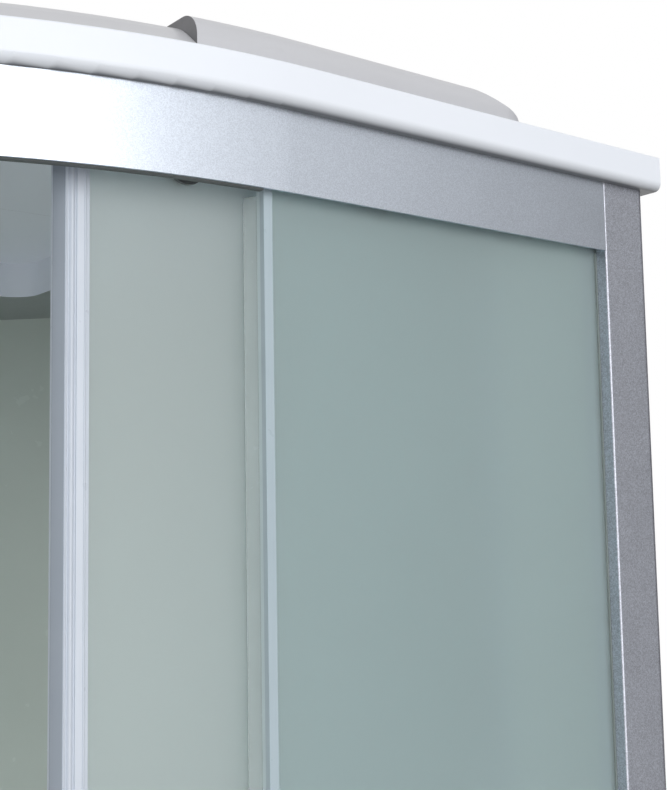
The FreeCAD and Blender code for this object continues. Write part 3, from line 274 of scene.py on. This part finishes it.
ACRYLIC_LIGHT, ACRYLIC_DARK = (0.85, 0.885, 0.95), (0.82, 0.855, 0.92)
looks = {
    "white_acrylic": acrylic("white_acrylic", ACRYLIC_LIGHT, ACRYLIC_DARK),
    "wall_panel": acrylic("wall_panel", (0.62, 0.68, 0.63), (0.58, 0.64, 0.59), (0.22, 0.30)),
    "satin_aluminium": satin_metal("satin_aluminium", (0.71, 0.765, 0.85), (0.57, 0.615, 0.69),
                                   1700.0, (0.34, 0.42)),
    "frosted_glass": frosted("frosted_glass", (0.78, 0.86, 0.86), (0.75, 0.83, 0.83), 0.72, 0.5),
    "white_pvc": plastic("white_pvc", (0.595, 0.645, 0.72), (0.565, 0.615, 0.69), 0.3),
    "roller_plastic": plastic("roller_plastic", (0.13, 0.14, 0.14), (0.09, 0.10, 0.10), 0.4),
    "nylon": plastic("nylon", (0.85, 0.84, 0.79), (0.78, 0.77, 0.72), 0.45),
    "chrome_plate": metal("chrome_plate", (0.60, 0.61, 0.63), (0.55, 0.56, 0.58), 0.09),
    "cast_brass": metal("cast_brass", (0.72, 0.55, 0.26), (0.55, 0.40, 0.18), 0.35, relief=0.2),
    "zinc_steel": metal("zinc_steel", (0.62, 0.63, 0.64), (0.48, 0.49, 0.51), 0.38, (1.0, 1.0, 0.2), 0.08),
    "trap_plastic": plastic("trap_plastic", (0.80, 0.80, 0.78), (0.72, 0.72, 0.70), 0.45),
    "black_rubber": plastic("black_rubber", (0.04, 0.04, 0.04), (0.025, 0.025, 0.025), 0.65),
    "foot_plastic": plastic("foot_plastic", (0.06, 0.06, 0.065), (0.035, 0.035, 0.04), 0.5),
}
fixed_glass = frosted("fixed_glass", (0.70, 0.83, 0.84), (0.67, 0.80, 0.81), 0.72, 0.3)
rear_glass = frosted("rear_glass", (0.58, 0.66, 0.64), (0.55, 0.63, 0.61), 0.40, 0.45)
gasket_grey = plastic("gasket_grey", (0.25, 0.29, 0.28), (0.20, 0.24, 0.23), 0.45)
shaded_aluminium = satin_metal("shaded_aluminium", (0.36, 0.39, 0.39), (0.27, 0.30, 0.30),
                               1500.0, (0.45, 0.52))
post_aluminium = satin_metal("post_aluminium", (0.665, 0.69, 0.765), (0.42, 0.435, 0.49),
                             1300.0, (0.42, 0.50), 0.2)
own_looks = {
    "roof_shell": roof_acrylic("roof_sheet", ACRYLIC_LIGHT, ACRYLIC_DARK),
    "rear_head_channels": shaded_aluminium,
    "rear_foot_channels": shaded_aluminium,
}
for hand in ("right", "left"):
    own_looks[f"{hand}_fixed_glass"] = fixed_glass
    own_looks[f"{hand}_rear_glass"] = rear_glass
    own_looks[f"{hand}_post_gasket"] = gasket_grey
    own_looks[f"{hand}_post"] = post_aluminium
for part in record["subparts"]:
    mesh = nodes[part["node"]].data
    mesh.materials.clear()
    mesh.materials.append(own_looks.get(part["node"]) or looks[part["material_slot"]])

# Pieces

SHARP_EDGE = math.radians(40.0)


def right_hand(x, y):
    """A plan point of the right-hand piece."""
    return x, y


def left_hand(x, y):
    """Its image across the cabin's line of symmetry."""
    return -y, -x


HANDS = (("right", right_hand), ("left", left_hand))


def piece(name, shape, materials, body, replaced=()):
    """Makes the shape an object that rides on a body, and hides the solids that it stands for."""
    bmesh.ops.recalc_face_normals(shape, faces=shape.faces)
    made = bpy.data.meshes.new(name)
    shape.to_mesh(made)
    shape.free()
    made.polygons.foreach_set("use_smooth", [True] * len(made.polygons))
    made.set_sharp_from_angle(angle=SHARP_EDGE)
    for material in materials:
        made.materials.append(material)
    thing = bpy.data.objects.new(name, made)
    bpy.context.scene.collection.objects.link(thing)
    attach(thing, body)
    for node in replaced:
        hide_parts(node)


def extrude_plan(shape, plan, low, high, faces=None):
    """Raises a plan of points between two levels; faces gives a material number for some of its sides."""
    rings = [[shape.verts.new((*point, level)) for point in plan] for level in (low, high)]
    count = len(plan)
    for i in range(count):
        after = (i + 1) % count
        side = shape.faces.new((rings[0][i], rings[0][after], rings[1][after], rings[1][i]))
        side.material_index = (faces or {}).get(i, 0)
    shape.faces.new(rings[0])
    shape.faces.new(rings[1])


def lathe(shape, profile, start, along, count=24):
    """Turns a profile of (radius, height) millimetres about an axis; a zero radius closes on the axis."""
    along = Vector(along).normalized()
    across = along.orthogonal().normalized()
    third = along.cross(across)
    turns = [math.tau * k / count for k in range(count)]
    headings = [across * math.cos(turn) + third * math.sin(turn) for turn in turns]
    rings = []
    for radius, height in profile:
        middle = Vector(start) + along * (height * MM)
        if radius == 0.0:
            rings.append([shape.verts.new(middle)])
        else:
            rings.append([shape.verts.new(middle + heading * (radius * MM)) for heading in headings])
    for low, high in zip(rings, rings[1:]):
        for k in range(count):
            after = (k + 1) % count
            corners = [low[k % len(low)], low[after % len(low)],
                       high[after % len(high)], high[k % len(high)]]
            shape.faces.new(list(dict.fromkeys(corners)))


def rib(base, start, stop, height, steps=6):
    """A rounded rib of a seal's section, from one place along it to another."""
    return [(base + height * math.sin(math.pi * k / steps), start + (stop - start) * k / steps)
            for k in range(steps + 1)]


# Magnet seals on the doors' leading edges, ribbed as extruded.
# The section's first number runs out of the glass's face and its second from the door's edge onto the glass.
DOOR_FACE, DOOR_LEAD = 522.0, math.radians(13.57)
CHAMFER_START, CHAMFER_STOP = (1.9, -6.7), (-2.4, -12.8)
axis = Vector(joints["right_door_slide"]["pos_m"][:2])
section = [(0.15, 8.0), (0.8, 6.0), *rib(1.2, 5.8, 4.6, 0.5), (1.45, 4.4), (1.45, 0.4), (0.5, 0.1),
           (0.5, -0.7), *rib(1.2, -0.9, -4.1, 1.25, 9), (1.0, -4.3), (1.0, -4.9),
           *rib(1.6, -5.0, -6.4, 0.8), CHAMFER_START, CHAMFER_STOP, (-3.0, -13.0), (-7.1, -13.0),
           (-7.5, -12.6), (-7.5, -1.9), (-7.1, -1.5), (-6.7, -1.4), (-6.7, 7.6), (-6.3, 8.0),
           (-5.2, 8.0), (-5.2, -0.1), (0.1, -0.1), (0.1, 8.0)]
# Painted shade: the seal's chamfered side, turned away from the light, is dark blue-grey
magnet_chamfer_shade = plastic("magnet_chamfer_shade", (0.28, 0.32, 0.37), (0.26, 0.30, 0.35), 0.35)
CHAMFER_SHADE_SIDES = {section.index(CHAMFER_START): 1, section.index(CHAMFER_STOP): 1}
outward = Vector((math.cos(DOOR_LEAD), -math.sin(DOOR_LEAD)))
along_door = Vector((math.sin(DOOR_LEAD), math.cos(DOOR_LEAD)))
for hand, side in HANDS:
    low, high = (corner[2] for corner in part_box(f"{hand}_magnet_seal"))
    plan = [axis + outward * (DOOR_FACE + out) * MM + along_door * on * MM for out, on in section]
    shape = bmesh.new()
    extrude_plan(shape, [side(*point) for point in plan], low, high, CHAMFER_SHADE_SIDES)
    piece(f"{hand}_magnet_profile", shape, [looks["white_pvc"], magnet_chamfer_shade], f"{hand}_door",
          [f"{hand}_magnet_seal"])

# Edge seals on the fixed glass: a clip of cloudy plastic with painted shade on the face side of its nose,
# and a clear fin
SEAL_RELIEF = 0.02
seal_body = plastic("seal_body", (0.43, 0.52, 0.57), (0.41, 0.50, 0.55), 0.3, SEAL_RELIEF)
# Painted shade: a darker copy of the clip's plastic on the nose's side towards the glass's face
seal_nose_shade = plastic("seal_nose_shade", (0.39, 0.47, 0.51), (0.37, 0.45, 0.49), 0.35, SEAL_RELIEF)
seal_root = plastic("seal_root", (0.53, 0.62, 0.64), (0.50, 0.59, 0.61), 0.35, SEAL_RELIEF)
seal_fin = plastic("seal_fin", (0.66, 0.74, 0.74), (0.63, 0.71, 0.71), 0.25, SEAL_RELIEF, cover=0.35)
CLIP_GAP, CLIP_WALL, CLIP_LENGTH, CLIP_ROUND = 0.1 * MM, 1.5 * MM, 5.0 * MM, 0.4 * MM
# The painted shade's share of the clip's nose, and how much the fin stops short of the seal's ends
NOSE_SHADE_SHARE, FIN_SHORT = 0.57, 6.0 * MM
FIN = [(0.0, 1.35), (2.1, 0.5), (5.0, -0.75), (7.5, -1.8), (9.5, -2.6),
       (9.5, -3.4), (7.5, -2.6), (5.0, -1.6), (2.1, -0.35), (0.0, 0.3)]
glass_low, glass_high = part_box("right_fixed_glass")
inner, outer, edge = glass_low[0], glass_high[0], glass_low[1]
face, root = outer + CLIP_GAP + CLIP_WALL, inner - CLIP_GAP - CLIP_WALL
nose, legs = edge - CLIP_GAP - CLIP_WALL, edge + CLIP_LENGTH
clip = [(face - CLIP_ROUND, nose), (face, nose + CLIP_ROUND),
        (face, legs - CLIP_ROUND), (face - CLIP_ROUND, legs),
        (face - CLIP_WALL, legs), (face - CLIP_WALL, edge - CLIP_GAP),
        (root + CLIP_WALL, edge - CLIP_GAP), (root + CLIP_WALL, legs),
        (root + CLIP_ROUND, legs), (root, legs - CLIP_ROUND),
        (root, nose + CLIP_ROUND), (root + CLIP_ROUND, nose),
        (face - NOSE_SHADE_SHARE * (face - root), nose)]
fin = [(root - out * MM, nose + on * MM) for out, on in FIN]
# The nose's two sides, next to the fin and under the painted shade, with the numbers of their materials
NOSE_SIDES = {len(clip) - 2: 2, len(clip) - 1: 1}
for hand, side in HANDS:
    low, high = (corner[2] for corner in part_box(f"{hand}_edge_seal"))
    shape = bmesh.new()
    extrude_plan(shape, [side(*point) for point in clip], low, high, NOSE_SIDES)
    piece(f"{hand}_edge_clip", shape, [seal_body, seal_nose_shade, seal_root], "cabin",
          [f"{hand}_edge_seal"])
    shape = bmesh.new()
    extrude_plan(shape, [side(*point) for point in fin], low + FIN_SHORT, high - FIN_SHORT)
    piece(f"{hand}_edge_fin", shape, [seal_fin], "cabin")

# Dark strips in the rails' glass groove, where the doorway leaves it empty: a dark sheet as painted shade in
# the groove.
# Their section is in radii about the doors' axis and depths into the rail.
STRIP_FIRST, STRIP_LAST, STRIP_STEPS = math.radians(1.8), math.radians(88.2), 96
STRIP = [(541.8, 4.0), (547.7, 4.0), (547.7, 0.1), (546.9, -0.8), (542.6, -0.8), (541.8, 0.1)]
groove_shade_grey = plastic("groove_shade_grey", (0.10, 0.11, 0.11), (0.08, 0.09, 0.09), 0.6)
for name, lip, into in (("top_groove_shade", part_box("top_rail")[0][2], 1.0),
                        ("bottom_groove_shade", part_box("bottom_rail")[1][2], -1.0)):
    shape = bmesh.new()
    rings = []
    for k in range(STRIP_STEPS + 1):
        turn = STRIP_FIRST + (STRIP_LAST - STRIP_FIRST) * k / STRIP_STEPS
        heading = Vector((math.cos(turn), -math.sin(turn)))
        rings.append([shape.verts.new((*(axis + heading * radius * MM), lip + into * depth * MM))
                      for radius, depth in STRIP])
    for ring, after in zip(rings, rings[1:]):
        for k in range(len(STRIP)):
            shape.faces.new((ring[k - 1], ring[k], after[k], after[k - 1]))
    shape.faces.new(rings[0])
    shape.faces.new(rings[-1])
    piece(name, shape, [groove_shade_grey], "cabin")

# Seal that closes the joint between the column's top and the ceiling
COLUMN_NEAR, COLUMN_TURN, COLUMN_WALL, CEILING_EDGE = 266.25, 424.25, 4.0, 432.0
skew = COLUMN_WALL * (math.sqrt(2) - 1)
front_half = [(-CEILING_EDGE, COLUMN_NEAR), (-COLUMN_TURN, COLUMN_NEAR)]
back_half = [(-COLUMN_TURN - skew, COLUMN_NEAR + COLUMN_WALL), (-CEILING_EDGE, COLUMN_NEAR + COLUMN_WALL)]
plan = front_half + [left_hand(*point) for point in reversed(front_half)]
plan += [left_hand(*point) for point in reversed(back_half)] + back_half
shape = bmesh.new()
extrude_plan(shape, [(x * MM, y * MM) for x, y in plan], RIM_BASE, PLATE)
piece("column_seal", shape, [looks["wall_panel"]], "cabin")

# Rubber nozzles under the rose, in rings of six, twelve and so on
NOZZLE_RINGS, NOZZLE_STEP, NOZZLES, NOZZLE_SIDES = 6, 14.5 * MM, 6, 10
NOZZLE = [(0.0, -0.4), (2.4, -0.4), (2.3, 0.6), (1.5, 2.4), (0.9, 2.6), (0.0, 2.0)]
low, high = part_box("overhead_rose")
middle = Vector(((low[0] + high[0]) / 2, (low[1] + high[1]) / 2, low[2]))
shape = bmesh.new()
for ring in range(1, NOZZLE_RINGS + 1):
    for k in range(NOZZLES * ring):
        turn = math.tau * k / (NOZZLES * ring)
        spot = middle + Vector((math.cos(turn), math.sin(turn), 0.0)) * ring * NOZZLE_STEP
        lathe(shape, NOZZLE, spot, (0, 0, -1), NOZZLE_SIDES)
piece("rose_nozzles", shape, [looks["roller_plastic"]], "cabin")

# Low anti-slip studs on the tray's floor, in staggered rows
TRAY_FLOOR, STUD_STEP, STUD_REACH, STUD_SIDES, DRAIN_CLEAR = 135.0 * MM, 26.0 * MM, 14, 12, 80.0 * MM
STUD = [(0.0, -0.2), (5.0, -0.2), (4.6, 0.4), (3.6, 0.75), (0.0, 0.9)]
# The basin's flat floor: its rear and front edges, its rounded corners and the arc at the doorway
FLOOR_REAR, FLOOR_FRONT, FLOOR_CORNER, FLOOR_ARC = 340.0 * MM, 310.0 * MM, 60.0 * MM, 420.0 * MM
rear_turn, front_turn = FLOOR_REAR - FLOOR_CORNER, FLOOR_FRONT - FLOOR_CORNER
corners = [((-rear_turn, rear_turn), (-1, 1)), ((-rear_turn, -front_turn), (-1, -1)),
           ((front_turn, rear_turn), (1, 1))]
drain_low, drain_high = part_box("drain_grate")
drain = (Vector(drain_low) + Vector(drain_high)).to_2d() / 2


def on_floor(spot):
    """Whether a stud fits on the basin's flat floor."""
    if (spot - drain).length < DRAIN_CLEAR:
        return False
    if spot.x > axis.x and spot.y < axis.y:
        return (spot - axis).length < FLOOR_ARC
    for (x, y), (sign_x, sign_y) in corners:
        beyond = Vector(((spot.x - x) * sign_x, (spot.y - y) * sign_y))
        if beyond.x > 0 and beyond.y > 0 and beyond.length > FLOOR_CORNER:
            return False
    return -FLOOR_REAR < spot.x < FLOOR_FRONT and -FLOOR_FRONT < spot.y < FLOOR_REAR


shape = bmesh.new()
for i in range(-STUD_REACH, STUD_REACH + 1):
    for k in range(-STUD_REACH, STUD_REACH + 1):
        spot = Vector((i + 0.5 * (k % 2), k)) * STUD_STEP
        if on_floor(spot):
            lathe(shape, STUD, (*spot, TRAY_FLOOR), (0, 0, 1), STUD_SIDES)
piece("tray_studs", shape, [looks["white_acrylic"]], "cabin")

# Pan-head screws with a socket, on the posts' inner faces
SCREW = [(0.0, 0.0), (4.0, 0.0), (4.0, 1.2), (3.4, 2.1), (2.3, 2.5), (1.7, 2.4), (1.7, 1.2), (0.0, 1.2)]
SCREW_PLACES = [(416.25, 418.0, 286.0), (416.25, 418.0, 2061.0)]
shape = bmesh.new()
for side, heading in ((right_hand, (-1, 0, 0)), (left_hand, (0, 1, 0))):
    for x, y, z in SCREW_PLACES:
        lathe(shape, SCREW, Vector((*side(x, y), z)) * MM, heading)
piece("socket_screws", shape, [looks["zinc_steel"]], "cabin", ["frame_screws"])

# Warm and cold marks on the mixer's rosette
ROSETTE_FACE, MARK_ACROSS, MARK_UP, MARK_SIDES = 6.0 * MM, 38.0 * MM, 22.0 * MM, 20
MARK = [(0.0, -0.2), (3.2, -0.2), (3.2, 0.3), (2.4, 0.6), (0.0, 0.7)]
out_of_column = Vector((1, -1, 0)).normalized()
across_column = Vector((1, 1, 0)).normalized()
marks_middle = Vector(joints["mixer_cap_turn"]["pos_m"]) + out_of_column * ROSETTE_FACE
for name, sign, light, dark in (("warm_mark", -1, (0.65, 0.05, 0.04), (0.5, 0.03, 0.03)),
                                ("cold_mark", 1, (0.05, 0.15, 0.6), (0.03, 0.1, 0.45))):
    spot = marks_middle + across_column * MARK_ACROSS * sign + Vector((0, 0, MARK_UP))
    shape = bmesh.new()
    lathe(shape, MARK, spot, out_of_column, MARK_SIDES)
    piece(name, shape, [plastic(name, light, dark, 0.25)], "cabin")

# Floor, world and lamps

PAPER_ROUGH = 0.9
PLAIN_WHITE = (1.0, 1.0, 1.0, 1.0)


def seen_plainly(tree):
    """One for the rays by which the camera, metal and glass see a surface, nought for other rays."""
    path = tree.nodes.new("ShaderNodeLightPath")
    seen = math_node(tree, "MAXIMUM", path.outputs["Is Camera Ray"], path.outputs["Is Glossy Ray"])
    return math_node(tree, "MAXIMUM", seen, path.outputs["Is Transmission Ray"])


def choose(tree, share, first, second, output):
    """Shows one shader where the share is nought, and another where it is one."""
    mix = tree.nodes.new("ShaderNodeMixShader")
    tree.links.new(share, mix.inputs["Fac"])
    tree.links.new(first, mix.inputs[1])
    tree.links.new(second, mix.inputs[2])
    tree.links.new(mix.outputs["Shader"], tree.nodes[output].inputs["Surface"])


# Pale paper that keeps the cabin's shadow near it and fades to plain white further off
FLOOR_SIZE, SHADOW_REACH, WHITE_REACH = 30.0, 0.8, 2.2
bpy.ops.mesh.primitive_plane_add(size=FLOOR_SIZE)
floor = bpy.context.object
floor.name = "floor"
floor_look, tree, shader, place = new_material("floor_paper")
clouds = noise(tree, place, scale=1.5)
feed(tree, shader, "Base Color", ramp(tree, clouds, (0.3, (0.84, 0.84, 0.84)), (0.7, (0.87, 0.87, 0.87))))
shader.inputs["Roughness"].default_value = PAPER_ROUGH
distance = tree.nodes.new("ShaderNodeVectorMath")
distance.operation = "LENGTH"
tree.links.new(place, distance.inputs[0])
far = spread(tree, distance.outputs["Value"], 0.0, 1.0, SHADOW_REACH, WHITE_REACH)
paper = tree.nodes.new("ShaderNodeEmission")
choose(tree, math_node(tree, "MULTIPLY", far, seen_plainly(tree)), shader.outputs["BSDF"],
       paper.outputs["Emission"], "Material Output")
floor.data.materials.append(floor_look)

# The sky lights the faces turned to the camera more than those that face up or away, and shows plain white
SKY_LEAN = (0.45, 0.1, -1.0)
SKY_STRENGTHS, SKY_RANGE = (0.5, 1.42), (-0.55, 0.45)
world = bpy.data.worlds.new("studio")
bpy.context.scene.world = world
world.use_nodes = True
tree = world.node_tree
lean = tree.nodes.new("ShaderNodeVectorMath")
lean.operation = "DOT_PRODUCT"
lean.inputs[1].default_value = SKY_LEAN
tree.links.new(tree.nodes.new("ShaderNodeTexCoord").outputs["Generated"], lean.inputs[0])
soft = tree.nodes["Background"]
soft.inputs["Color"].default_value = PLAIN_WHITE
tree.links.new(spread(tree, lean.outputs["Value"], *SKY_STRENGTHS, *SKY_RANGE), soft.inputs["Strength"])
white = tree.nodes.new("ShaderNodeBackground")
white.inputs["Color"].default_value = PLAIN_WHITE
choose(tree, seen_plainly(tree), soft.outputs["Background"], white.outputs["Background"], "World Output")


def aim(thing, place, target, front):
    """Puts a thing at a place, with one of its axes turned to a target."""
    thing.location = place
    thing.rotation_euler = (Vector(target) - Vector(place)).to_track_quat(front, "Y").to_euler()


def softbox(name, place, target, size, watts):
    """A square soft lamp aimed at a point."""
    lamp = bpy.data.lights.new(name, "AREA")
    lamp.shape = "SQUARE"
    lamp.size = size
    lamp.energy = watts
    holder = bpy.data.objects.new(name, lamp)
    aim(holder, place, target, "-Z")
    bpy.context.scene.collection.objects.link(holder)
    return holder


softbox("key_lamp", place=(4.3, -1.3, 2.5), target=(0.3, 0.0, 1.7), size=3.2, watts=62.0)

# A weak lamp low in the cabin, for the daylight that the frosted glass lets in
fill = softbox("fill_lamp", place=(0.0, 0.0, 0.9), target=(0.0, 0.0, 2.1), size=0.5, watts=0.9)
fill.visible_camera = False
fill.visible_glossy = False
fill.visible_transmission = False

# A card that runs from black to grey, out of the camera's sight, which the metal and the glass reflect
CARD_PLACE, CARD_TARGET, CARD_SIZE = (1.4, 2.9, 1.7), (0.3, 0.1, 1.6), 3.8
bpy.ops.mesh.primitive_plane_add(size=CARD_SIZE)
card = bpy.context.object
card.name = "grey_card"
aim(card, CARD_PLACE, CARD_TARGET, "Z")
card.visible_camera = False
card_look, tree, shader, place = new_material("card_cloth")
shade = spread(tree, coordinates(tree, place)["X"], 0.0, 1.0, -CARD_SIZE / 2, CARD_SIZE / 2)
feed(tree, shader, "Base Color", ramp(tree, shade, (0.4, (0.03, 0.03, 0.03)), (1.0, (0.72, 0.72, 0.72))))
shader.inputs["Roughness"].default_value = PAPER_ROUGH
card.data.materials.append(card_look)

# Camera as fitted to the photograph's rail, post and roof edges
CAMERA_PLACE = (1.08738, -0.3657, 1.82844)
CAMERA_YAW, CAMERA_PITCH, CAMERA_ROLL = (math.radians(angle) for angle in (51.9652, 6.4862, -0.9837))
CAMERA_LENS, SENSOR, NEAREST = 60.613, 36.0, 0.01
ahead = Vector((-math.sin(CAMERA_YAW) * math.cos(CAMERA_PITCH),
                math.cos(CAMERA_YAW) * math.cos(CAMERA_PITCH), math.sin(CAMERA_PITCH)))
level = Vector((math.cos(CAMERA_YAW), math.sin(CAMERA_YAW), 0.0))
over = level.cross(ahead)
right = math.cos(CAMERA_ROLL) * level + math.sin(CAMERA_ROLL) * over
upward = math.cos(CAMERA_ROLL) * over - math.sin(CAMERA_ROLL) * level
turned = Matrix((right, upward, -ahead)).transposed().to_4x4()
camera = bpy.data.objects.new("camera", bpy.data.cameras.new("camera"))
camera.data.lens = CAMERA_LENS
camera.data.sensor_width = SENSOR
camera.data.clip_start = NEAREST
camera.matrix_world = Matrix.Translation(CAMERA_PLACE) @ turned
bpy.context.scene.collection.objects.link(camera)
bpy.context.scene.camera = camera
bpy.context.scene.view_settings.view_transform = "Standard"
